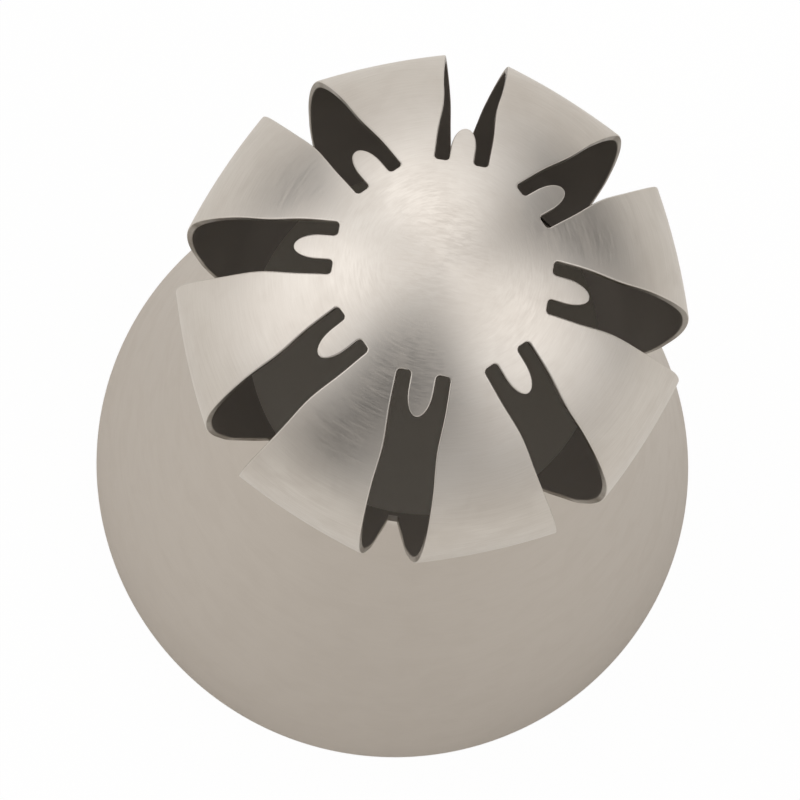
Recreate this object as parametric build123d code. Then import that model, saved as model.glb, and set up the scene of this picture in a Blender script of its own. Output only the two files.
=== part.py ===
from build123d import *
import os
from math import asin, atan2, cos, degrees, radians, sin, sqrt, tan

# A ball piping nozzle of thin stainless sheet: a plain cone skirt, open at
# the base, and a ball-shaped head of folded petals under a closed round dome.
# Each petal is flat across its width, so the head is many-sided where the
# petals fold, and round at the dome and at the neck. The axis is Z, the base
# rim lies on z = 0 and the tip points up. One slot lies on +X. Lengths are in
# millimetres and angles in degrees.

# Sheet
sheet_thickness = 0.35

# Skirt, from the flat rim of the open base up to the neck
base_diameter = 35.0
skirt_height = 34.2

# Head: the round dome, the knee where each petal leaves it, the fold that
# turns the petal under, and its straight arm, which leans in on its way down.
# The neck lies inside the arms' flats by their stand-off, and there a cone
# rounds them off.
head_height = 17.8
dome_radius = 13.45
knee_radius = 9.1
knee_turn = 3.0
head_width = 24.06
fold_radius = 8.0
arm_lean = 20.6
arm_stand_off = 0.27
neck_lean = 30.0

# Slots between the petals, from the dome down to the neck
slot_count = 8
slot_ring_radius = 5.12
slot_dome_width = 2.54
slot_flare_radius = 8.6
slot_nose_width = 3.1
slot_nose_rise = 2.75
slot_hip_rise = 0.15
slot_foot_rise = 0.3
slot_foot_width = 0.45

# Tongues that fork the slots at the dome
tongue_width = 1.2
tongue_reach = 1.95
tongue_straight = 0.75

# How far every cutter runs past what it cuts
overrun = 2.0

upright = 90.0
petal_turn = 360 / slot_count
nozzle_height = skirt_height + head_height
dome_centre = Vector(0, nozzle_height - dome_radius)


# The slope of the sheet is measured down from level, as it runs from the tip
# outward over the dome and down a petal. It is upright where the head is
# widest and goes on past that where the petal folds under.
def heading(slope):
    """The way down the sheet at a slope."""
    return Vector(cos(radians(slope)), -sin(radians(slope)))


def outward(slope):
    """The way out of the sheet at a slope, square to its heading."""
    return Vector(sin(radians(slope)), cos(radians(slope)))


# A petal's line leaves the dome at the knee and is tangent to the fold, whose
# widest point sets the head's width across the flats.
knee = Vector(knee_radius, dome_centre.Y + sqrt(dome_radius**2 - knee_radius**2))
petal_slope = degrees(asin(knee_radius / dome_radius)) + knee_turn
fold_reach = fold_radius * (1 - sin(radians(petal_slope)))
petal_run = (head_width / 2 - fold_reach - knee_radius) / cos(radians(petal_slope))
fold_start = knee + heading(petal_slope) * petal_run
fold_centre = fold_start - outward(petal_slope) * fold_radius
widest_height = fold_centre.Y

# The arm is tangent to the fold, and where it gets down to the neck it sets
# the neck's radius, and with it the slope of the skirt.
arm_slope = upright + arm_lean
arm_start = fold_centre + outward(arm_slope) * fold_radius
arm_foot = arm_start.X - (arm_start.Y - skirt_height) * tan(radians(arm_lean))
neck_radius = arm_foot - arm_stand_off
skirt_slope = atan2(skirt_height, base_diameter / 2 - neck_radius)
rim_width = sheet_thickness / sin(skirt_slope)


def revolved(profile):
    """One turn of a closed profile of radius and height about the axis."""
    return revolve(Plane.XZ * make_face(profile), axis=Axis.Z)


def round_body(inset, below):
    """The ball of the dome, kept where it lies inside the cone that widens
    upward from the neck, at a depth in the sheet. The cone starts some way
    below the neck. The ball lies on its side, with its seam underneath."""
    lying = Plane((0, 0, dome_centre.Y), x_dir=(0, 0, -1), z_dir=(0, 1, 0))
    ball = lying * Sphere(dome_radius - inset)
    lean = Vector(tan(radians(neck_lean)), 1)
    foot = Vector(neck_radius - inset / cos(radians(neck_lean)), skirt_height)
    low = foot - lean * below
    high = foot + lean * (head_height + overrun)
    return ball & revolved(Polyline((0, low.Y), low, high, (0, high.Y), close=True))


def petal_cutter(inset):
    """All that lies outside the petal on +X, at a depth in the sheet: above
    its flat, round its fold and beyond its arm."""
    radius = fold_radius - inset
    flat_end = fold_centre + outward(petal_slope) * radius
    flat_start = flat_end - heading(petal_slope) * (max(petal_run, 0) + overrun)
    bend = fold_centre + outward((petal_slope + arm_slope) / 2) * radius
    start = fold_centre + outward(arm_slope) * radius
    end = start + heading(arm_slope) * ((start.Y - skirt_height + overrun) / cos(radians(arm_lean)))
    far = head_width + overrun
    top = nozzle_height + overrun
    around = Polyline(start, end, (far, end.Y), (far, top), (flat_start.X, top), flat_start)
    edge = Curve() + [Line(flat_start, flat_end), ThreePointArc(flat_end, bend, start), around]
    return extrude(Plane.XZ * make_face(edge), far, both=True)


def sided_body(inset=0, below=0):
    """The round body with a flat, a fold and an arm cut for each petal."""
    body = round_body(inset, below)
    cutter = petal_cutter(inset)
    for index in range(slot_count):
        body -= Rot(0, 0, (index + 0.5) * petal_turn) * cutter
    return body


def dome_end_cutter():
    """The upper stretch of a slot, cut from above in plan: two prongs beside
    the tongue, then straight sides that flare past the knee to the nose."""
    root = slot_ring_radius
    bend = root + tongue_straight
    far = head_width / 2 + overrun
    floor = widest_height + slot_nose_rise
    full = fold_centre.X + sqrt((fold_radius - sheet_thickness) ** 2 - slot_nose_rise**2)
    half = Curve() + [
        EllipticalCenterArc((bend, 0), tongue_reach - tongue_straight, tongue_width / 2, arc_size=90),
        Polyline(
            (bend, tongue_width / 2),
            (root, tongue_width / 2),
            (root, slot_dome_width / 2),
            (slot_flare_radius, slot_dome_width / 2),
            (full, slot_nose_width / 2),
            (far, slot_nose_width / 2),
            (far, 0),
        ),
    ]
    face = make_face(half + mirror(half, Plane.XZ))
    return extrude(Plane.XY.offset(floor) * face, nozzle_height + overrun - floor)


def foot_end_cutter():
    """The lower stretch of a slot, cut from the side in front view. Its edges
    come down upright from the nose, turn in at the hips on a wide arc and
    taper straight to the narrow flat foot above the neck."""
    foot = Vector(slot_foot_width / 2, skirt_height + slot_foot_rise)
    hip = Vector(slot_nose_width / 2, widest_height + slot_hip_rise)
    top = Vector(slot_nose_width / 2, widest_height + slot_nose_rise)
    taper = (hip - foot).normalized()
    arc_start = hip - taper * (top.Y - hip.Y)
    half = Curve() + [
        Polyline((0, foot.Y), foot, arc_start),
        TangentArc(arc_start, top, tangent=taper),
        Line(top, (0, top.Y)),
    ]
    face = make_face(half + mirror(half, Plane.YZ))
    return extrude(Plane.YZ * face, head_width / 2 + overrun)


def petal_head():
    """The closed dome with its tongues, and the petals that the slots leave."""
    head = sided_body() - sided_body(sheet_thickness, overrun)
    cutter = dome_end_cutter() + foot_end_cutter()
    for index in range(slot_count):
        head -= Rot(0, 0, index * petal_turn) * cutter
    return head


def cone_skirt():
    """The plain cone from the neck down to the flat rim of the open base."""
    base_rim = Vector(base_diameter / 2, 0)
    top_rim = Vector(neck_radius, skirt_height)
    inward = Vector(-rim_width, 0)
    return revolved(Polyline(top_rim, base_rim, base_rim + inward, top_rim + inward, close=True))


os.makedirs("parts", exist_ok=True)
nodes = {"petal_head": petal_head(), "cone_skirt": cone_skirt()}
for name, solid in nodes.items():
    export_step(solid, f"parts/{name}.step")
    print(name, "volume", round(solid.volume, 2), "size", solid.bounding_box().size)
print("height", round(nozzle_height, 3), "widest height", round(widest_height, 3))
print("petal slope", round(petal_slope, 2), "neck", round(neck_radius, 3), "rim width", round(rim_width, 3))
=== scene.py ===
import math

import bpy
import numpy as np
from bpy.props import FloatProperty, FloatVectorProperty, IntProperty, PointerProperty
from mathutils import Euler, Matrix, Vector


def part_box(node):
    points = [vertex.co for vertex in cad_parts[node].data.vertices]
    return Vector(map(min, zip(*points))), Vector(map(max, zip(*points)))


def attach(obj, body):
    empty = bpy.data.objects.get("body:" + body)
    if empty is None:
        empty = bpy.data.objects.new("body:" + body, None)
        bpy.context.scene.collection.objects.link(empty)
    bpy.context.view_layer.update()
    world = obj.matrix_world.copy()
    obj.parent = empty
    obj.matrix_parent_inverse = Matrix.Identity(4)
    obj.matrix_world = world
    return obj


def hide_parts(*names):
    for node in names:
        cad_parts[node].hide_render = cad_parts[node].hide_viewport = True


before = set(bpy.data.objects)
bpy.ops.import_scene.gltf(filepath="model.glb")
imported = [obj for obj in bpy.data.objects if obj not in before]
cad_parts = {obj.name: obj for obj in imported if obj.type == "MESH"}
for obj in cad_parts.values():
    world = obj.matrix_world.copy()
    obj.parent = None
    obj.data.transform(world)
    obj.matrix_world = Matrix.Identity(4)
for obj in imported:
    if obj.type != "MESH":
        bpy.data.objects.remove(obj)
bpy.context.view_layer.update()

bl_info = {
    "name": "Ball Piping Nozzle",
    "version": (1, 0, 0),
    "blender": (4, 5, 0),
    "location": "View3D > Sidebar > Nozzle",
    "description": "Builds a ball piping nozzle of brushed steel sheet and the stage it stands on",
    "category": "Add Mesh",
}

MM = 0.001
TIP_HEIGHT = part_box("petal_head")[1].z
BASE_RADIUS, _, NECK_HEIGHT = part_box("cone_skirt")[1]

# Rows, columns and steps of the surface grids
PETAL_ROWS = 84
PETAL_COLUMNS = 24
DOME_ROWS = 24
TONGUE_ROWS = 4
TONGUE_COLUMNS = 10
PRONG_STEPS = 7
TIP_STEPS = 16
COLLAR_ROWS = 4
COLLAR_COLUMNS = 6
SKIRT_ROWS = 40
SKIRT_COLUMNS = 320
EDGE_STEPS = 5

# How finely the sheet is measured to space each of its rows evenly
MEASURES_PER_ROW = 50

# Rounds in which a slot's width and the radius at its edge settle
SLOT_ROUNDS = 12

# Share of the way down the dome over which its columns run straight
DOME_STRAIGHT = 0.75

# Points closer than this are one point, and a point this near to the dome's
# ball lies on it
WELD_STEP = 0.0005 * MM
BALL_REACH = 0.000001 * MM

# Brush marks: how often the noise changes in a metre down the sheet and in a
# turn of one radian round the axis, for the coarse marks and the fine ones
BRUSH_RATES = ((9000.0, 5.0), (19000.0, 9.0))

# Scuffs at the very tip: their turn, how often they change in a metre along X,
# Y and Z, and the plan radii between which they give way to the marks
SCUFF_TURN = math.radians(35)
SCUFF_RATES = (1500, 7500, 1500)
SCUFF_FADE = (1.5 * MM, 3.5 * MM)

# Patches in a metre where the marks are faint, and how much finer the blooms
# are than the clouds
PATCH_RATE = 230.0
BLOOM_FINENESS = 2.7

# The stretch of each pattern's values that is spread from nought to one
PATCH_RANGE = (0.40, 0.60)
MARK_RANGE = (0.35, 0.65)
CLOUD_RANGE = (0.35, 0.70)
BLOOM_RANGE = (0.40, 0.70)

# Where the inner face's finish comes in, as shares of the sheet's thickness,
# and where the cut's tint comes in, as shares of the way out on a cut edge
INNER_FADE = (0.75, 1.0)
CUT_FADE = (0.7, 1.0)

# The skirt's calmer brush marks and its painted shade come in over this depth below the neck
SKIRT_FADE = 1.0 * MM

# Soft panels of light round the stage. Each has the azimuth and the elevation
# of its middle, how much it adds to the sky there, and how far from its
# middle it is still full and where it ends, in degrees.
PANELS = (
    (190, 30, 1.25, 10, 45),
    (100, 28, 0.95, 10, 45),
    (345, 40, 1.00, 10, 45),
    (130, 64, 0.80, 10, 45),
    (15, 66, 0.50, 10, 40),
    (285, 8, 0.45, 10, 40),
)

SIZES_KEY = "nozzle_sizes"
FINISH_KEY = "nozzle_finish"
STAGE_KEY = "nozzle_stage"


def length(name, description, default):
    """A length in metres, shown in the scene's own length unit."""
    return FloatProperty(
        name=name, description=description, default=default, unit="LENGTH", precision=5)


def angle(name, description, degrees):
    """An angle, given in degrees."""
    return FloatProperty(
        name=name, description=description, default=math.radians(degrees), subtype="ANGLE")


def share(name, description, default):
    """A plain number from nought to one."""
    return FloatProperty(
        name=name, description=description, default=default, min=0, max=1, subtype="FACTOR")


def color(name, description, default):
    """A linear colour with no alpha."""
    return FloatVectorProperty(
        name=name, description=description, default=default, min=0, max=1, size=3, subtype="COLOR")


class NozzleSizes(bpy.types.PropertyGroup):
    """The sheet's sizes, as the solids have them, and its finer shapes"""

    sheet_thickness: length("Sheet", "Thickness of the sheet", 0.35 * MM)
    edge_radius: length("Edge", "Rounding left on the cut edges", 0.08 * MM)
    base_radius: length("Base radius", "Outer radius of the open base", BASE_RADIUS)
    neck_radius: length("Neck radius", "Outer radius where the skirt meets the head", 9.3 * MM)
    neck_height: length("Neck height", "Height of the joint between skirt and head", NECK_HEIGHT)
    dome_radius: length("Dome radius", "Radius of the round dome", 13.45 * MM)
    head_radius: length("Head radius", "Radius at the widest ring, in the middle of a petal", 12.22 * MM)
    widest_rise: length("Widest rise", "Height of the widest ring above the neck", 8.0 * MM)
    arm_lean: angle("Arm lean", "How far the petals' lower arms lean in", 20.6)
    neck_lean: angle("Neck lean", "How far the round collar above the neck leans in", 30.6)
    blend: length("Blend", "Depth of the blend between arm and collar", 0.1 * MM)
    flatness: share("Flatness", "How far a petal is flat across, from round to flat", 0.62)
    flat_top: length("Flat top", "Height over the widest ring where the petals start to flatten", 4.6 * MM)
    flat_fade: length("Flat fade", "Height over which they flatten", 2.9 * MM)
    flat_foot: length("Flat foot", "Height over the neck where they are round again", 1.7 * MM)
    slot_count: IntProperty(name="Slots", description="How many slots part the petals", default=8, min=3)
    ring_radius: length("Slot ring", "Plan radius where the slots start", 5.12 * MM)
    root_width: length("Slot at root", "Slot width where it starts", 2.54 * MM)
    swell_width: length("Slot swell", "Slot width a quarter of the way to the nose", 2.62 * MM)
    waist_width: length("Slot waist", "Slot width half way to the nose", 2.54 * MM)
    flare_width: length("Slot flare", "Slot width three quarters of the way to the nose", 2.92 * MM)
    nose_width: length("Slot at nose", "Slot width at the petals' noses", 3.10 * MM)
    nose_rise: length("Nose rise", "Height over the widest ring where a slot is widest", 2.75 * MM)
    hip_rise: length("Hip rise", "Height over the widest ring where a slot's edges turn in", 0.15 * MM)
    foot_rise: length("Foot rise", "Height of a slot's foot over the neck", 0.3 * MM)
    foot_width: length("Foot width", "Slot width at its foot", 0.45 * MM)
    tongue_width: length("Tongue width", "Width of a tongue", 1.2 * MM)
    tongue_reach: length("Tongue reach", "Plan reach of a tongue", 1.95 * MM)
    tongue_straight: length("Tongue straight", "Stretch of a tongue before its round tip", 0.75 * MM)
    dome_spread: share("Dome spread", "How evenly the dome's columns leave the tip", 0.3)
    corner_radius: length("Prong corner", "Radius of a slot's inner corners", 0.18 * MM)


class NozzleFinish(bpy.types.PropertyGroup):
    """The brushed steel"""

    steel: color("Steel", "Reflection colour of the brushed faces", (0.66, 0.62, 0.575))
    # This colour is also where the skirt's painted shade mixes to
    stain_and_shade: color("Stain and shade", "Reflection colour of the duller patches", (0.53, 0.48, 0.43))
    inside: color("Inside", "Reflection colour of the unbrushed inner faces", (0.33, 0.295, 0.26))
    cut: color("Cut edge", "Reflection colour of the cut edges", (0.17, 0.14, 0.105))
    roughness: share("Roughness", "Roughness between the brush marks", 0.30)
    mark_roughness: share("Mark roughness", "Roughness of the deepest brush marks", 0.40)
    bloom_roughness: share("Bloom roughness", "Roughness that the small blooms add", 0.05)
    inside_roughness: share("Inside roughness", "Roughness of the inner faces", 0.6)
    brushed: share("Brushing", "How much the brushing stretches the reflections", 0.5)
    mark_depth: length("Mark depth", "Depth of the brush marks", 0.0045 * MM)
    patchiness: share("Patchiness", "How much the brush marks fade in their faint patches", 0.4)
    cloud_size: length("Cloud size", "Size of the wide clouds of handling", 6 * MM)
    mark_dull: share("Mark dulling", "How much the brush marks dull the steel", 0.3)
    cloud_dull: share("Cloud dulling", "How much the wide clouds dull the steel", 0.35)
    bloom_dull: share("Bloom dulling", "How much the small blooms dull the steel", 0.2)
    # Painted shade: darkens the skirt's colour against the head's
    skirt_painted_shade: share("Skirt painted shade", "How far painted shade darkens the skirt's colour against the head's", 1.0)
    skirt_calm: share("Skirt calm", "How much weaker the brush marks are on the skirt", 0.6)
    cut_bloom: share("Cut bloom", "How much the tint of the cut edges comes and goes", 0.3)


class StageLight(bpy.types.PropertyGroup):
    """The camera, the light and the floor"""

    camera_place: FloatVectorProperty(
        name="Camera", description="Where the camera stands", size=3, subtype="TRANSLATION", unit="LENGTH",
        default=(-3.162 * MM, -43.272 * MM, 232.326 * MM))
    camera_turn: FloatVectorProperty(
        name="Camera turn", description="The camera's turn about X, Y and Z", size=3, subtype="EULER",
        default=(math.radians(11.142), math.radians(-2.690), math.radians(9.854)))
    focal_length: FloatProperty(
        name="Focal length", description="Focal length of the lens, on a sensor 36 mm wide",
        default=180.0, unit="CAMERA")
    sky_level: share("Sky level", "How bright the sky is between the panels", 0.14)
    sky: color("Sky", "Colour of the light from all round", (1.0, 0.99, 0.975))
    floor: color("Floor", "Colour of the floor", (0.93, 0.915, 0.885))
    # Painted light: warm colour of the glow put on the floor inside the nozzle, where it lies in shade
    painted_light_inside: color("Painted light inside", "Colour of the painted light on the floor seen through the slots", (1.0, 0.86, 0.68))
    floor_size: length("Floor size", "Half the floor's side", 2.0)
    glow: share("Glow", "Share of plain white in the floor that the camera sees", 0.97)
    # Painted light: a faint glow on the floor inside the nozzle that stands in for light bounced in through
    # the slots
    painted_glow_inside: share("Painted glow inside", "The same share for the floor seen through the slots", 0.035)


def weld(grids):
    """Joins grids of points into one mesh and merges the points that lie
    together. Each grid is rows x columns x 3. Its quads wind so that they
    face outwards where the rows run down the sheet and the columns run
    anticlockwise seen from above."""
    points, quads, start = [], [], 0
    for grid in grids:
        rows, columns = grid.shape[:2]
        index = np.arange(rows * columns).reshape(rows, columns) + start
        corners = [index[:-1, :-1], index[1:, :-1], index[1:, 1:], index[:-1, 1:]]
        points.append(grid.reshape(-1, 3))
        quads.append(np.stack(corners, axis=-1).reshape(-1, 4))
        start += rows * columns
    points = np.concatenate(points)
    quads = np.concatenate(quads)
    keys = np.round(points / WELD_STEP).astype(np.int64)
    _, first, back = np.unique(keys, axis=0, return_index=True, return_inverse=True)
    return points[first], back.reshape(-1)[quads]


def face_corners(quads):
    """The quads that are whole, and the triangles that are left of those
    with two corners at one point."""
    same = quads == np.roll(quads, -1, axis=1)
    whole = ~same.any(axis=1)
    thin = quads[same.sum(axis=1) == 1]
    at = np.argmax(thin == np.roll(thin, -1, axis=1), axis=1)
    order = (at[:, None] + np.arange(1, 4)) % 4
    return quads[whole], np.take_along_axis(thin, order, axis=1)


def vertex_normals(points, quads, triangles):
    """Area-weighted normals: the cross product of each quad's diagonals, and
    of two sides of each triangle, summed at its corners."""
    first, second, third, fourth = (points[quads[:, corner]] for corner in range(4))
    quad_area = np.cross(third - first, fourth - second)
    first, second, third = (points[triangles[:, corner]] for corner in range(3))
    triangle_area = np.cross(second - first, third - first)
    normals = np.zeros_like(points)
    np.add.at(normals, quads.reshape(-1), np.repeat(quad_area, 4, axis=0))
    np.add.at(normals, triangles.reshape(-1), np.repeat(triangle_area, 3, axis=0))
    return normals / np.linalg.norm(normals, axis=1, keepdims=True)


def ball_normals(points, normals, sizes):
    """The normals, made exact where the face lies on the dome's ball: there
    they point straight from the ball's centre."""
    arm = points - (0, 0, TIP_HEIGHT - sizes.dome_radius)
    distance = np.linalg.norm(arm, axis=1, keepdims=True)
    on_ball = (np.abs(distance - sizes.dome_radius) < BALL_REACH) & (arm[:, 2:] > 0)
    return np.where(on_ball, arm / distance, normals)


def boundary(quads, triangles):
    """The directed edges that only one face uses, as two arrays: each
    point of the boundary and the point that follows it."""
    sides = [quads[:, [k, (k + 1) % 4]] for k in range(4)]
    sides += [triangles[:, [k, (k + 1) % 3]] for k in range(3)]
    edges = np.concatenate(sides)
    count = edges.max() + 1
    there = edges[:, 0] * count + edges[:, 1]
    back = edges[:, 1] * count + edges[:, 0]
    lone = edges[~np.isin(there, back)]
    return lone[:, 0], lone[:, 1]


def sheet_shell(points, normals, quads, triangles, sizes):
    """Gives an outer face, with its normals, its inner face and its rounded
    cut edges. The inner face is the outer one moved inwards along the
    normals by the thickness. A cut edge runs from one to the other: a
    quarter circle out from the outer face, a straight wall, and a quarter
    circle back in. The edges at the joint and at the base are level, and the
    joint is sharp. Returns the points, their normals, the quads and the
    triangles, and for each point how deep it lies in the sheet and how far
    out on a cut edge, from nought to one."""
    thickness, edge = sizes.sheet_thickness, sizes.edge_radius
    start, end = boundary(quads, triangles)
    count, rim = len(points), len(start)
    along = points[end] - points[start]
    along /= np.linalg.norm(along, axis=1, keepdims=True)
    follow = np.full(count, -1)
    follow[start] = np.arange(rim)
    ahead = follow[end]
    before = np.empty_like(start)
    before[ahead] = np.arange(rim)
    outward = np.cross(along + along[before], normals[start])
    outward /= np.linalg.norm(outward, axis=1, keepdims=True)

    inner = points - normals * thickness
    joint = np.abs(points[start, 2] - sizes.neck_height) < WELD_STEP
    flat = start[joint | (points[start, 2] < 2 * edge)]
    level = normals[flat] * (1, 1, 0)
    level /= (level**2).sum(axis=1, keepdims=True)
    inner[flat] = points[flat] - level * thickness

    turns = np.linspace(0, math.pi / 2, EDGE_STEPS)
    sine = np.concatenate([np.sin(turns), np.sin(turns[::-1])])[1:-1, None, None]
    cosine = np.concatenate([np.cos(turns), -np.cos(turns[::-1])])[1:-1, None, None]
    depth = np.concatenate([edge * (1 - np.cos(turns)), thickness - edge * (1 - np.cos(turns[::-1]))])[1:-1]
    through = (inner - points)[start] / thickness
    rounding = np.where(joint, 0, edge)[:, None]
    ring = points[start] + outward * (sine * rounding) + through * depth[:, None, None]
    ring_normals = normals[start] * cosine + outward * sine

    levels = len(depth)
    index = np.concatenate([
        start[None], np.arange(levels * rim).reshape(levels, rim) + 2 * count, start[None] + count])
    walls = np.stack([index[:-1], index[1:], index[1:, ahead], index[:-1, ahead]], axis=-1)
    all_points = np.concatenate([points, inner, ring.reshape(-1, 3)])
    all_normals = np.concatenate([normals, -normals, ring_normals.reshape(-1, 3)])
    all_quads = np.concatenate([quads, quads[:, ::-1] + count, walls.reshape(-1, 4)])
    all_triangles = np.concatenate([triangles, triangles[:, ::-1] + count])
    depth_share = np.concatenate([np.zeros(count), np.ones(count), np.repeat(depth / thickness, rim)])
    edge_share = np.concatenate([np.zeros(2 * count), np.repeat(sine, rim)])
    return all_points, all_normals, all_quads, all_triangles, depth_share, edge_share


def make_piece(name, shell, material):
    """Puts a shell into a mesh object at the origin, with its normals and
    two attributes: how deep a point lies in the sheet, and how far out on a
    cut edge."""
    points, normals, quads, triangles, depth_share, edge_share = shell
    mesh = bpy.data.meshes.new(name)
    mesh.from_pydata(points, [], quads.tolist() + triangles.tolist())
    mesh.shade_smooth()
    mesh.normals_split_custom_set_from_vertices(normals)
    for key, values in (("sheet_depth", depth_share), ("cut_edge", edge_share)):
        attribute = mesh.attributes.new(key, "FLOAT", "POINT")
        attribute.data.foreach_set("value", values.astype(np.float32))
    mesh.materials.append(material)
    piece = bpy.data.objects.new(name, mesh)
    bpy.context.scene.collection.objects.link(piece)
    return piece


def ramp(value):
    """A smooth rise from nought to one: three squares less two cubes."""
    value = np.clip(value, 0, 1)
    return value * value * (3 - 2 * value)


def smooth_lesser(first, second, blend):
    """The lesser of two values, less a parabola where they are close."""
    near = np.maximum(blend - np.abs(first - second), 0)
    return np.minimum(first, second) - near * near / (4 * blend)


def smooth_through(knots, at):
    """A cubic through evenly spaced values, level at both ends, whose slope
    at a knot is that from the knot before to the knot after."""
    knots = np.asarray(knots)
    slopes = np.concatenate([[0], (knots[2:] - knots[:-2]) / 2, [0]])
    run = np.clip(at, 0, 1) * (len(knots) - 1)
    low = np.minimum(run.astype(int), len(knots) - 2)
    part = run - low
    rise = ramp(part)
    return (knots[low] * (1 - rise) + knots[low + 1] * rise
            + slopes[low] * part * (1 - part) ** 2 - slopes[low + 1] * part * part * (1 - part))


class HeadShape:
    """The head's outer face as formulas of height and of the turn from the
    middle of a petal."""

    def __init__(self, sizes):
        self.sizes = sizes
        self.pitch = 2 * math.pi / sizes.slot_count
        self.dome_centre = TIP_HEIGHT - sizes.dome_radius
        self.widest = sizes.neck_height + sizes.widest_rise
        self.nose = self.widest + sizes.nose_rise
        self.foot = sizes.neck_height + sizes.foot_rise
        # Plan radius where the prongs' round ends begin, and with them the
        # petals and the tongues.
        self.shoulder = sizes.ring_radius + sizes.corner_radius
        # The fold's circle touches the dome's from inside and reaches the
        # head's radius at the widest ring.
        gap = sizes.dome_radius - sizes.head_radius
        rise = self.widest - self.dome_centre
        offset = (gap**2 + rise**2) / (2 * gap)
        self.fold_radius = sizes.dome_radius - offset
        self.fold_centre = sizes.head_radius - self.fold_radius
        self.dome_end = self.dome_centre + sizes.dome_radius * rise / offset
        self.arm_start = self.widest - self.fold_radius * math.sin(sizes.arm_lean)

    def dome_height(self, radius):
        """Height of the dome at a plan radius."""
        return self.dome_centre + np.sqrt(self.sizes.dome_radius**2 - radius**2)

    def middle_radius(self, height):
        """Radius in the middle of a petal: the dome's circle, then the
        fold's, then the straight arm, blended into the collar's cone."""
        sizes = self.sizes
        rise = np.maximum(height, self.dome_end) - self.dome_centre
        dome = np.sqrt(sizes.dome_radius**2 - rise**2)
        above = np.clip(height, self.arm_start, self.dome_end) - self.widest
        fold = self.fold_centre + np.sqrt(self.fold_radius**2 - above**2)
        arm = fold - np.maximum(self.arm_start - height, 0) * math.tan(sizes.arm_lean)
        collar = sizes.neck_radius + (height - sizes.neck_height) * math.tan(sizes.neck_lean)
        return np.where(height > self.dome_end, dome, smooth_lesser(arm, collar, sizes.blend))

    def radius(self, height, turn):
        """Radius at a turn from the petal's middle. Where the petal is flat
        the radius grows as one over the cosine of the turn. The share of
        that growth fades out towards the dome and towards the neck."""
        sizes = self.sizes
        top = ramp((self.widest + sizes.flat_top - height) / sizes.flat_fade)
        foot = ramp((height - sizes.neck_height - sizes.flat_foot) / sizes.flat_fade)
        growth = sizes.flatness * top * foot * (1 / np.cos(turn) - 1)
        return self.middle_radius(height) * (1 + growth)

    def lower_half(self, height):
        """Half the slot's width below the nose: a wide arc that ends upright
        at the nose, and a straight taper from there to the foot."""
        sizes = self.sizes
        nose_half, foot_half = sizes.nose_width / 2, sizes.foot_width / 2
        hip = self.widest + sizes.hip_rise
        lean = math.atan2(nose_half - foot_half, hip - self.foot)
        reach = self.nose - hip
        arc_radius = reach / math.tan(lean / 2)
        taper = foot_half + (height - self.foot) * math.tan(lean)
        drop = np.clip(self.nose - height, 0, arc_radius)
        arc = nose_half - arc_radius + np.sqrt(arc_radius**2 - drop**2)
        return np.where(height < hip - reach * math.cos(lean), taper, arc)

    def slot_edge(self, height, inset):
        """Half the slot's width, with the inset, and the sheet's radius at
        the slot's edge. Above the nose half the width is a curve through its
        knots over the plan distance. The radius depends on the edge's turn,
        and that on the radius, so the two are worked out in rounds."""
        sizes = self.sizes
        widths = (
            sizes.root_width, sizes.swell_width, sizes.waist_width, sizes.flare_width, sizes.nose_width)
        knots = [width / 2 for width in widths]
        nose_radius = self.radius(self.nose, self.pitch / 2 - knots[-1] / sizes.head_radius)
        nose_plan = math.sqrt(nose_radius**2 - knots[-1] ** 2)
        lower = self.lower_half(height)
        half = lower + inset
        radius = self.middle_radius(height)
        for _ in range(SLOT_ROUNDS):
            plan = np.sqrt(radius**2 - half**2)
            upper = smooth_through(knots, (plan - sizes.ring_radius) / (nose_plan - sizes.ring_radius))
            half = np.where(height > self.nose, upper, lower) + inset
            radius = self.radius(height, self.pitch / 2 - np.arcsin(half / radius))
        return half, radius

    def even_heights(self, top, foot, count):
        """Heights of rows that are evenly spaced down the sheet."""
        height = np.linspace(top, foot, MEASURES_PER_ROW * count)
        radius = self.middle_radius(height)
        run = np.concatenate([[0], np.cumsum(np.hypot(np.diff(radius), np.diff(height)))])
        return np.interp(np.linspace(0, run[-1], count + 1), run, height)


def place(radius, height, azimuth):
    """Points at a radius, height and azimuth about the axis."""
    radius, height, azimuth = np.broadcast_arrays(radius, height, azimuth)
    return np.stack([radius * np.cos(azimuth), radius * np.sin(azimuth), height], axis=-1)


def petal_grid(shape, inset):
    """One petal: rows evenly spaced down the sheet, from the slots' roots to
    their feet, and columns between two slots' edges that draw together
    near the edges."""
    sizes = shape.sizes
    top = shape.dome_height(math.hypot(shape.shoulder, sizes.root_width / 2 + inset))
    height = shape.even_heights(top, shape.foot - inset, PETAL_ROWS)
    half, edge_radius = shape.slot_edge(height, inset)
    half[0] = sizes.root_width / 2 + inset
    edge_radius[0] = math.hypot(shape.shoulder, half[0])
    reach = shape.pitch / 2 - np.arcsin(half / edge_radius)
    across = np.linspace(-1, 1, PETAL_COLUMNS + 1)
    across = (across + np.sin(across * math.pi / 2)) / 2
    turn = reach[:, None] * across[None]
    height = height[:, None]
    return place(shape.radius(height, turn), height, shape.pitch / 2 + turn)


def tongue_grid(shape, inset):
    """One tongue: columns across it, straight to the bend and then drawing
    together on an ellipse to the tip."""
    sizes = shape.sizes
    bend = sizes.ring_radius + sizes.tongue_straight
    turn = np.linspace(0, math.pi / 2, TIP_STEPS + 1)
    straight = np.linspace(shape.shoulder, bend, TONGUE_ROWS + 1)[:-1]
    tip = bend + (sizes.tongue_reach - sizes.tongue_straight - inset) * np.sin(turn)
    plan = np.concatenate([straight, tip])
    half = (sizes.tongue_width / 2 - inset) * np.concatenate([np.ones(TONGUE_ROWS), np.cos(turn)])
    side = half[:, None] * np.linspace(-1, 1, TONGUE_COLUMNS + 1)[None]
    radius = np.hypot(plan[:, None], side)
    return place(radius, shape.dome_height(radius), np.arctan2(side, plan[:, None]))


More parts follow.
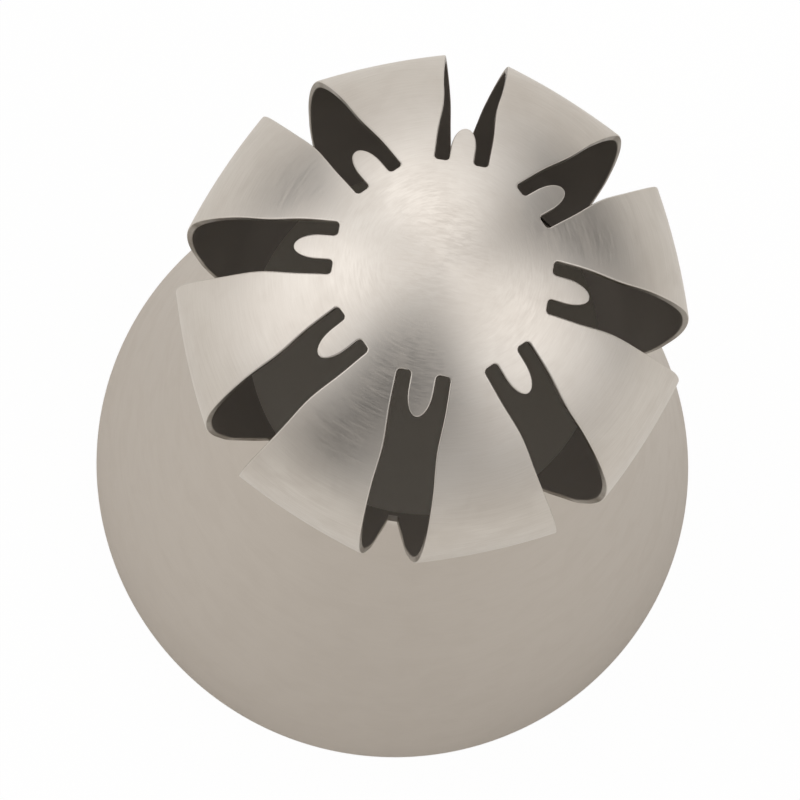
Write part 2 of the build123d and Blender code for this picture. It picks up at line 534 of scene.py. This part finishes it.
def root_outline(shape, inset, tongue):
    """Half a slot's root in plan, from the middle of the tongue to its side,
    up round the prong's end and down to the petal. The prong's two corners
    are quarter circles."""
    sizes = shape.sizes
    round_off = sizes.corner_radius + inset
    up = np.linspace(0, math.pi / 2, PRONG_STEPS)
    down = up[::-1]
    inner_side = sizes.tongue_width / 2 - inset + round_off * (1 - np.cos(up))
    outer_side = sizes.root_width / 2 + inset - round_off * (1 - np.cos(down))
    side = np.concatenate([inner_side, outer_side])
    plan = shape.shoulder - round_off * np.concatenate([np.sin(up), np.sin(down)])
    tongue_half = tongue[0, TONGUE_COLUMNS // 2:, :2]
    return np.concatenate([tongue_half, np.stack([plan, side], axis=-1)[1:]])


def dome_grid(shape, inset, tongue, petal):
    """The dome's share over one slot and one petal, in rows from the tip to
    the dome's edge. The edge goes along the tongue's root, round a prong's
    end, along the petal's top and round the next slot's near prong. Each
    column runs straight down at an azimuth of its own, which never falls
    from one column to the next, and over the last stretch it bends to where
    it ends on the edge."""
    sizes = shape.sizes
    near = root_outline(shape, inset, tongue)
    near_radius, near_azimuth = np.hypot(near[:, 0], near[:, 1]), np.arctan2(near[:, 1], near[:, 0])
    top_azimuth = np.arctan2(petal[0, :, 1], petal[0, :, 0])[1:-1]
    top_radius = np.full(len(top_azimuth), near_radius[-1])
    end = np.concatenate([near_azimuth, top_azimuth, shape.pitch - near_azimuth[::-1]])
    edge_radius = np.concatenate([near_radius, top_radius, near_radius[::-1]])

    count = len(end)
    rising = np.maximum.accumulate(end)
    falling = np.minimum.accumulate(end[::-1])[::-1]
    ordered = np.where(np.arange(count) < count / 2, rising, falling)
    even = np.linspace(0, shape.pitch, count)
    start = (1 - sizes.dome_spread) * ordered + sizes.dome_spread * even
    share_down = np.linspace(0, 1, DOME_ROWS + 1)[:, None]
    bend = ramp((share_down - DOME_STRAIGHT) / (1 - DOME_STRAIGHT))
    slope = np.arcsin(edge_radius / sizes.dome_radius)[None] * share_down
    radius = sizes.dome_radius * np.sin(slope)
    return place(radius, shape.dome_height(radius), start[None] + (end - start)[None] * bend)


def collar_grid(shape, petal):
    """The collar's share over one slot and one petal: from the slots' feet
    straight down to the neck."""
    foot = petal[-1]
    under_petal = np.arctan2(foot[:, 1], foot[:, 0])
    under_slot = np.linspace(-under_petal[0], under_petal[0], COLLAR_COLUMNS + 1)
    azimuth = np.concatenate([under_slot, under_petal[1:]])
    height = np.linspace(foot[0, 2], shape.sizes.neck_height, COLLAR_ROWS + 1)[:, None]
    return place(shape.middle_radius(height), height, azimuth[None])


def head_face(sizes):
    """The head's outer face, held back from the cut edges by their
    rounding: a dome, a tongue, a petal and a collar for each slot."""
    shape = HeadShape(sizes)
    inset = sizes.edge_radius
    petal = petal_grid(shape, inset)
    tongue = tongue_grid(shape, inset)
    sector = (dome_grid(shape, inset, tongue, petal), tongue, petal, collar_grid(shape, petal))
    grids = []
    for index in range(sizes.slot_count):
        cosine, sine = math.cos(index * shape.pitch), math.sin(index * shape.pitch)
        spin = np.array([[cosine, sine, 0], [-sine, cosine, 0], [0, 0, 1]])
        grids += [grid @ spin for grid in sector]
    return weld(grids)


def skirt_face(sizes):
    """The cone's outer face: straight from the neck to the rim's rounding."""
    run_in = sizes.neck_radius - sizes.base_radius
    rim = sizes.edge_radius * math.cos(math.atan2(run_in, sizes.neck_height))
    height = np.linspace(sizes.neck_height, rim, SKIRT_ROWS + 1)[:, None]
    radius = sizes.base_radius + run_in * height / sizes.neck_height
    azimuth = np.linspace(0, 2 * math.pi, SKIRT_COLUMNS + 1)[None]
    return weld([place(radius, height, azimuth)])


def build_piece(name, node, face, context):
    """Builds a sheet piece over its node and gives it the steel."""
    sizes = getattr(context.scene, SIZES_KEY)
    points, quads = face(sizes)
    quads, triangles = face_corners(quads)
    normals = ball_normals(points, vertex_normals(points, quads, triangles), sizes)
    shell = sheet_shell(points, normals, quads, triangles, sizes)
    piece = make_piece(name, shell, brushed_steel(getattr(context.scene, FINISH_KEY)))
    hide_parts(node)
    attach(piece, "root")


class NOZZLE_OT_petal_head(bpy.types.Operator):
    """Build the domed head with its folded petals, tongues and slots"""

    bl_idname = "nozzle.petal_head"
    bl_label = "Petal Head"

    def execute(self, context):
        build_piece("petal_head_sheet", "petal_head", head_face, context)
        return {"FINISHED"}


class NOZZLE_OT_cone_skirt(bpy.types.Operator):
    """Build the plain cone skirt that the head stands on"""

    bl_idname = "nozzle.cone_skirt"
    bl_label = "Cone Skirt"

    def execute(self, context):
        build_piece("cone_skirt_sheet", "cone_skirt", skirt_face, context)
        return {"FINISHED"}


class Nodes:
    """Adds nodes to a tree, with their settings and their links."""

    def __init__(self, tree):
        self.tree = tree

    def add(self, kind, settings=None, **inputs):
        """One node. A setting goes on the node. An input, by its name with
        underscores for spaces, gets a value, or a link if it is a socket."""
        node = self.tree.nodes.new(kind)
        for key, value in (settings or {}).items():
            setattr(node, key, value)
        for key, value in inputs.items():
            self.feed(node.inputs[key.replace("_", " ")], value)
        return node

    def feed(self, socket, value):
        """A value or a link into a socket."""
        if isinstance(value, bpy.types.NodeSocket):
            self.tree.links.new(value, socket)
        else:
            socket.default_value = value

    def operate(self, kind, operation, values):
        """A Math or Vector Math node with its values in order."""
        node = self.add(kind, {"operation": operation})
        for socket, value in zip(node.inputs, values):
            self.feed(socket, value)
        return node

    def math(self, operation, *values):
        """A Math node's result."""
        return self.operate("ShaderNodeMath", operation, values).outputs[0]

    def vector_math(self, operation, *values):
        """A Vector Math node."""
        return self.operate("ShaderNodeVectorMath", operation, values)

    def noise(self, spot, **inputs):
        """A Noise Texture's value at a place."""
        return self.add("ShaderNodeTexNoise", Vector=spot, **inputs).outputs[0]

    def mix(self, factor, first, second):
        """Two numbers mixed by a factor."""
        return self.add("ShaderNodeMix", Factor=factor, A=first, B=second).outputs[0]

    def mix_colors(self, factor, first, second):
        """Two colours mixed by a factor."""
        node = self.add("ShaderNodeMix", {"data_type": "RGBA"}, Factor=factor)
        for socket, value in zip((node.inputs[6], node.inputs[7]), (first, second)):
            self.feed(socket, (*value, 1) if isinstance(value, tuple) else value)
        return node.outputs[2]

    def spread(self, value, low, high, to_low=0.0, to_high=1.0):
        """A value spread smoothly from one range to another."""
        node = self.add(
            "ShaderNodeMapRange", {"interpolation_type": "SMOOTHSTEP"},
            Value=value, From_Min=low, From_Max=high, To_Min=to_low, To_Max=to_high)
        return node.outputs[0]

    def from_axis(self, position):
        """A place's way from the Z axis, as a vector, and its length."""
        flat = self.vector_math("MULTIPLY", position, (1, 1, 0)).outputs[0]
        return flat, self.vector_math("LENGTH", flat).outputs["Value"]


def node_group(name, inputs, outputs):
    """An empty shader node group, with its nodes for the way in and out.
    Its inputs are named sockets of the types given, and its outputs are
    named numbers."""
    group = bpy.data.node_groups.new(name, "ShaderNodeTree")
    for key, kind in inputs.items():
        group.interface.new_socket(key, in_out="INPUT", socket_type=kind)
    for key in outputs:
        group.interface.new_socket(key, in_out="OUTPUT", socket_type="NodeSocketFloat")
    nodes = Nodes(group)
    return group, nodes, nodes.add("NodeGroupInput"), nodes.add("NodeGroupOutput")


def brush_marks_group():
    """Fine brush marks round a turned piece. The noise is read at the
    point's direction from the axis and, far finer, at its distance from the
    axis less its height, which grows all the way down the sheet, so the
    marks run round the axis. At the very tip they give way to short scuffs.
    They come and go in patches."""
    inputs = {
        "Position": "NodeSocketVector", "Patchiness": "NodeSocketFloat", "Strength": "NodeSocketFloat"}
    group, nodes, way_in, way_out = node_group("brush_marks", inputs, ("Marks", "Height"))
    position = way_in.outputs["Position"]
    flat, distance = nodes.from_axis(position)
    around = nodes.vector_math("NORMALIZE", flat).outputs[0]
    height = nodes.add("ShaderNodeSeparateXYZ", Vector=position).outputs["Z"]
    down = nodes.math("SUBTRACT", distance, height)
    layers = []
    for per_metre, per_radian in BRUSH_RATES:
        along = nodes.vector_math("SCALE", around)
        along.inputs["Scale"].default_value = per_radian
        across = nodes.add("ShaderNodeCombineXYZ", Z=nodes.math("MULTIPLY", down, per_metre))
        spot = nodes.vector_math("ADD", along.outputs[0], across.outputs[0]).outputs[0]
        layers.append(nodes.noise(spot, Scale=1.0, Detail=3.0, Roughness=0.6))
    marks = nodes.math("MULTIPLY_ADD", layers[0], 0.5, nodes.math("MULTIPLY", layers[1], 0.5))

    turned = nodes.add(
        "ShaderNodeMapping", Vector=position, Rotation=(0, 0, SCUFF_TURN), Scale=SCUFF_RATES).outputs[0]
    scuffs = nodes.noise(turned, Scale=1.0, Detail=3.0, Roughness=0.65, Distortion=0.6)
    pattern = nodes.mix(nodes.spread(distance, *SCUFF_FADE), scuffs, marks)
    faint = nodes.noise(position, Scale=PATCH_RATE, Detail=2.0, Roughness=0.5)
    lost = nodes.math("MULTIPLY", way_in.outputs["Patchiness"], nodes.spread(faint, *PATCH_RANGE))
    kept = nodes.math("MULTIPLY", nodes.math("SUBTRACT", 1.0, lost), way_in.outputs["Strength"])
    relief = nodes.math("MULTIPLY", nodes.math("SUBTRACT", pattern, 0.5), kept)
    nodes.feed(way_out.inputs["Height"], relief)
    nodes.feed(way_out.inputs["Marks"], nodes.spread(nodes.math("ADD", relief, 0.5), *MARK_RANGE))
    return group


def handling_group():
    """Soft marks of handling and uneven polish: wide clouds, and small
    blooms."""
    inputs = {"Position": "NodeSocketVector", "Size": "NodeSocketFloat"}
    group, nodes, way_in, way_out = node_group("handling", inputs, ("Cloud", "Bloom"))
    position = way_in.outputs["Position"]
    rate = nodes.math("DIVIDE", 1.0, way_in.outputs["Size"])
    finer = nodes.math("MULTIPLY", rate, BLOOM_FINENESS)
    cloud = nodes.noise(position, Scale=rate, Detail=2.0, Roughness=0.5)
    bloom = nodes.noise(position, Scale=finer, Detail=3.0, Roughness=0.55, Distortion=0.4)
    nodes.feed(way_out.inputs["Cloud"], nodes.spread(cloud, *CLOUD_RANGE))
    nodes.feed(way_out.inputs["Bloom"], nodes.spread(bloom, *BLOOM_RANGE))
    return group


def brushed_steel(finish):
    """Satin stainless steel sheet. The outer face has warm clouds and fine brush marks. The skirt's colour
    is darker than the head's, as painted shade, and its brush marks are calmer. The inner face is plain and
    dark, and the cut edges are tinted brown. Both pieces share the one material."""
    material = bpy.data.materials.get("brushed_steel")
    if material:
        return material
    material = bpy.data.materials.new("brushed_steel")
    material.use_nodes = True
    nodes = Nodes(material.node_tree)
    shader = material.node_tree.nodes["Principled BSDF"]
    steel, stain_and_shade = tuple(finish.steel), tuple(finish.stain_and_shade)
    position = nodes.add("ShaderNodeTexCoord").outputs["Object"]
    height = nodes.add("ShaderNodeSeparateXYZ", Vector=position).outputs["Z"]
    depth = nodes.add("ShaderNodeAttribute", {"attribute_name": "sheet_depth"}).outputs["Fac"]
    edge = nodes.add("ShaderNodeAttribute", {"attribute_name": "cut_edge"}).outputs["Fac"]
    skirt = nodes.spread(height, NECK_HEIGHT, NECK_HEIGHT - SKIRT_FADE)
    inner = nodes.spread(depth, *INNER_FADE)
    cut = nodes.spread(edge, *CUT_FADE)
    brushing = nodes.add(
        "ShaderNodeGroup", {"node_tree": brush_marks_group()}, Position=position,
        Patchiness=finish.patchiness,
        Strength=nodes.math("SUBTRACT", 1.0, nodes.math("MULTIPLY", skirt, finish.skirt_calm)))
    handling = nodes.add(
        "ShaderNodeGroup", {"node_tree": handling_group()}, Position=position, Size=finish.cloud_size)
    marks, relief = brushing.outputs["Marks"], brushing.outputs["Height"]
    cloud, bloom = handling.outputs["Cloud"], handling.outputs["Bloom"]

    dull_and_shade = nodes.math("MULTIPLY", bloom, finish.bloom_dull)
    dull_and_shade = nodes.math("MULTIPLY_ADD", cloud, finish.cloud_dull, dull_and_shade)
    # Painted shade: the skirt's colour is mixed towards the darker stain colour, so the skirt shows darker
    # than the head
    dull_and_shade = nodes.math("MULTIPLY_ADD", skirt, finish.skirt_painted_shade, dull_and_shade)
    base = nodes.mix_colors(dull_and_shade, steel, stain_and_shade)
    base = nodes.mix_colors(nodes.math("MULTIPLY", marks, finish.mark_dull), base, stain_and_shade)
    base = nodes.mix_colors(inner, base, tuple(finish.inside))
    evenness = nodes.math("MULTIPLY_ADD", bloom, finish.cut_bloom, 1 - finish.cut_bloom)
    base = nodes.mix_colors(nodes.math("MULTIPLY", cut, evenness), base, tuple(finish.cut))
    nodes.feed(shader.inputs["Base Color"], base)

    rough = nodes.spread(marks, 0.0, 1.0, finish.roughness, finish.mark_roughness)
    rough = nodes.math("MULTIPLY_ADD", bloom, finish.bloom_roughness, rough)
    nodes.feed(shader.inputs["Roughness"], nodes.mix(inner, rough, finish.inside_roughness))
    relief = nodes.math("MULTIPLY", relief, finish.mark_depth)
    bump = nodes.add("ShaderNodeBump", Height=relief, Distance=1.0, Strength=1.0)
    nodes.feed(shader.inputs["Normal"], bump.outputs[0])
    tangent = nodes.add("ShaderNodeTangent", {"direction_type": "RADIAL", "axis": "Z"})
    nodes.feed(shader.inputs["Tangent"], tangent.outputs[0])
    shader.inputs["Metallic"].default_value = 1
    shader.inputs["Anisotropic"].default_value = finish.brushed
    shader.inputs["Anisotropic Rotation"].default_value = 0.25
    return material


def studio_world(stage):
    """A dim even sky, to which each panel adds its light. How much of it
    shows goes by the cosine of the angle from the panel's middle."""
    world = bpy.data.worlds.new("studio")
    world.use_nodes = True
    nodes = Nodes(world.node_tree)
    way = nodes.add("ShaderNodeTexCoord").outputs["Generated"]
    light = stage.sky_level
    for azimuth, elevation, gain, full, end in PANELS:
        turn, rise = math.radians(azimuth), math.radians(elevation)
        middle = (math.cos(rise) * math.cos(turn), math.cos(rise) * math.sin(turn), math.sin(rise))
        near = nodes.vector_math("DOT_PRODUCT", way, middle).outputs["Value"]
        panel = nodes.spread(near, math.cos(math.radians(end)), math.cos(math.radians(full)), 0.0, gain)
        light = nodes.math("ADD", light, panel)
    background = world.node_tree.nodes["Background"]
    background.inputs["Color"].default_value = (*stage.sky, 1)
    nodes.feed(background.inputs["Strength"], light)
    return world


def white_floor(stage, inner_radius):
    """A white floor. Outside the nozzle the camera sees mostly plain white, which leaves a little of the
    floor's own light and shadow. Under it the camera sees mostly the floor as it is lit, with a faint warm
    painted glow added that stands in for light bounced in through the slots."""
    material = bpy.data.materials.new("white_floor")
    material.use_nodes = True
    tree = material.node_tree
    nodes = Nodes(tree)
    plain = tree.nodes["Principled BSDF"]
    plain.inputs["Base Color"].default_value = (*stage.floor, 1)
    plain.inputs["Roughness"].default_value = 0.9
    distance = nodes.from_axis(nodes.add("ShaderNodeTexCoord").outputs["Object"])[1]
    outside = nodes.math("GREATER_THAN", distance, inner_radius)
    seen = nodes.add("ShaderNodeLightPath").outputs["Is Camera Ray"]
    # The camera sees the glow outside as plain white, and under the nozzle as a faint warm painted light
    glow = nodes.math("MULTIPLY_ADD", outside, stage.glow - stage.painted_glow_inside, stage.painted_glow_inside)
    white_and_painted_light = nodes.mix_colors(outside, tuple(stage.painted_light_inside), (1, 1, 1))
    white = nodes.add("ShaderNodeEmission", Color=white_and_painted_light, Strength=1.0)
    mixed = nodes.add("ShaderNodeMixShader", Fac=nodes.math("MULTIPLY", glow, seen))
    nodes.feed(mixed.inputs[1], plain.outputs[0])
    nodes.feed(mixed.inputs[2], white.outputs[0])
    nodes.feed(tree.nodes["Material Output"].inputs["Surface"], mixed.outputs[0])
    return material


def add_camera(stage, scene):
    """The camera at the photograph's place and turn."""
    lens = bpy.data.cameras.new("camera")
    lens.lens = stage.focal_length
    lens.sensor_width = 36
    lens.clip_start = 0.01
    camera = bpy.data.objects.new("camera", lens)
    camera.location = Vector(stage.camera_place)
    camera.rotation_euler = Euler(stage.camera_turn)
    scene.collection.objects.link(camera)
    scene.camera = camera


def add_floor(stage, scene):
    """One square, level with the base rim."""
    size = stage.floor_size
    corners = [(-size, -size, 0), (size, -size, 0), (size, size, 0), (-size, size, 0)]
    mesh = bpy.data.meshes.new("floor")
    mesh.from_pydata(corners, [], [(0, 1, 2, 3)])
    mesh.materials.append(white_floor(stage, getattr(scene, SIZES_KEY).base_radius))
    floor = bpy.data.objects.new("floor", mesh)
    scene.collection.objects.link(floor)


class NOZZLE_OT_stage(bpy.types.Operator):
    """Set the camera, the light and the floor"""

    bl_idname = "nozzle.stage"
    bl_label = "Stage"

    def execute(self, context):
        scene = context.scene
        stage = getattr(scene, STAGE_KEY)
        add_camera(stage, scene)
        scene.world = studio_world(stage)
        add_floor(stage, scene)
        scene.view_settings.view_transform = "Standard"
        return {"FINISHED"}


class NOZZLE_PT_panel(bpy.types.Panel):
    """Lists the pieces, and the sizes and colours that they are built with"""

    bl_label = "Nozzle"
    bl_idname = "NOZZLE_PT_panel"
    bl_space_type = "VIEW_3D"
    bl_region_type = "UI"
    bl_category = "Nozzle"

    def draw(self, context):
        for operator in OPERATORS:
            self.layout.operator(operator.bl_idname)
        for key, group in GROUPS.items():
            for name in group.__annotations__:
                self.layout.prop(getattr(context.scene, key), name)


OPERATORS = (NOZZLE_OT_petal_head, NOZZLE_OT_cone_skirt, NOZZLE_OT_stage)
GROUPS = {SIZES_KEY: NozzleSizes, FINISH_KEY: NozzleFinish, STAGE_KEY: StageLight}
CLASSES = (*GROUPS.values(), *OPERATORS, NOZZLE_PT_panel)


def register():
    for cls in CLASSES:
        bpy.utils.register_class(cls)
    for key, group in GROUPS.items():
        setattr(bpy.types.Scene, key, PointerProperty(type=group))


def unregister():
    for key in GROUPS:
        delattr(bpy.types.Scene, key)
    for cls in reversed(CLASSES):
        bpy.utils.unregister_class(cls)


def main():
    register()
    bpy.ops.nozzle.petal_head()
    bpy.ops.nozzle.cone_skirt()
    bpy.ops.nozzle.stage()


if __name__ == "__main__":
    main()
